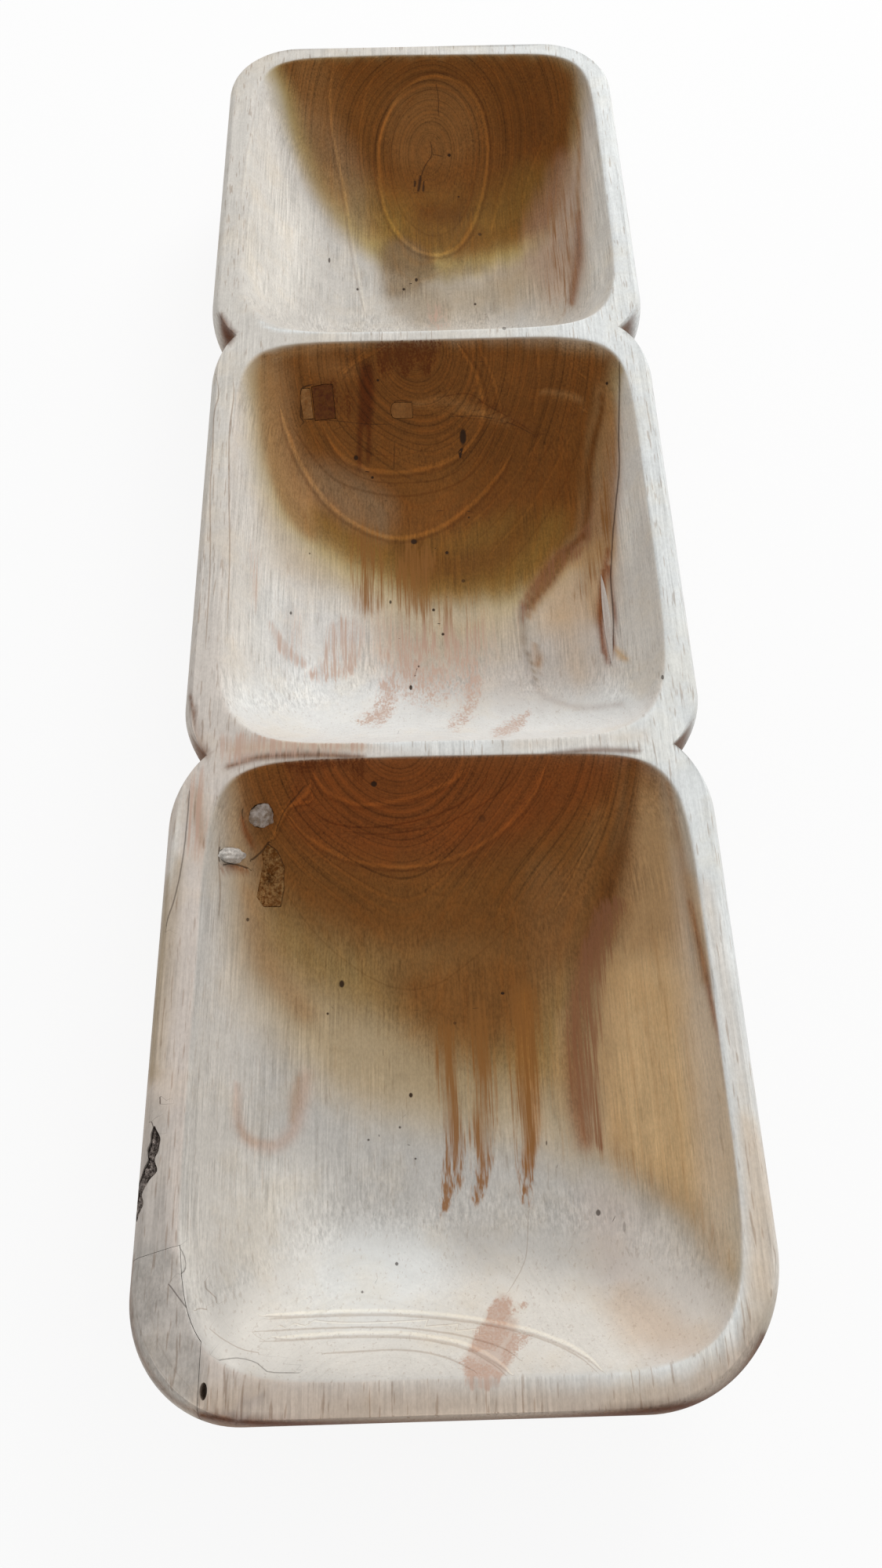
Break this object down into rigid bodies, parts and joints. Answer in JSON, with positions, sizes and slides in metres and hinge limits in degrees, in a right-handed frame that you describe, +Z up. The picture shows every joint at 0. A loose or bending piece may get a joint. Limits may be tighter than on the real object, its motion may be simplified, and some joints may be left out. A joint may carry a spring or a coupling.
{
  "type": "appetizer dish",
  "caption": "Long carved wooden serving dish with a row of rounded square bowls, thin dividers, notched sides, a flat base and glued-in wood repairs.",
  "frame": {"origin": "middle of the flat base, on the surface that the dish stands on", "axes": "+X across the dish to the right, +Y along the dish to its far end, +Z up"},
  "size_m": [0.188, 0.6, 0.06],
  "materials": {
    "carved_wood": "sanded teak-like wood, brown heart and pale sapwood, waxed with a soft sheen",
    "grey_wood": "sanded grey sapwood",
    "bark": "dry broken bark",
    "dark_inlay": "sanded dark heartwood",
    "pale_inlay": "sanded pale wood",
    "plug_wood": "sanded end grain",
    "sawdust_fill": "rough sawdust and glue",
    "dried_glue": "foamed glue, dried"
  },
  "bodies": {
    "root": {"dish_body": "carved_wood", "corner_block": "grey_wood", "bark_strip": "bark", "wall_patch": "dark_inlay", "patch_sliver": "pale_inlay", "wall_plug": "plug_wood", "rough_fill": "sawdust_fill", "crack_wedge": "pale_inlay", "upper_glue_bead": "dried_glue", "lower_glue_bead": "dried_glue"}
  },
  "joints": []
}
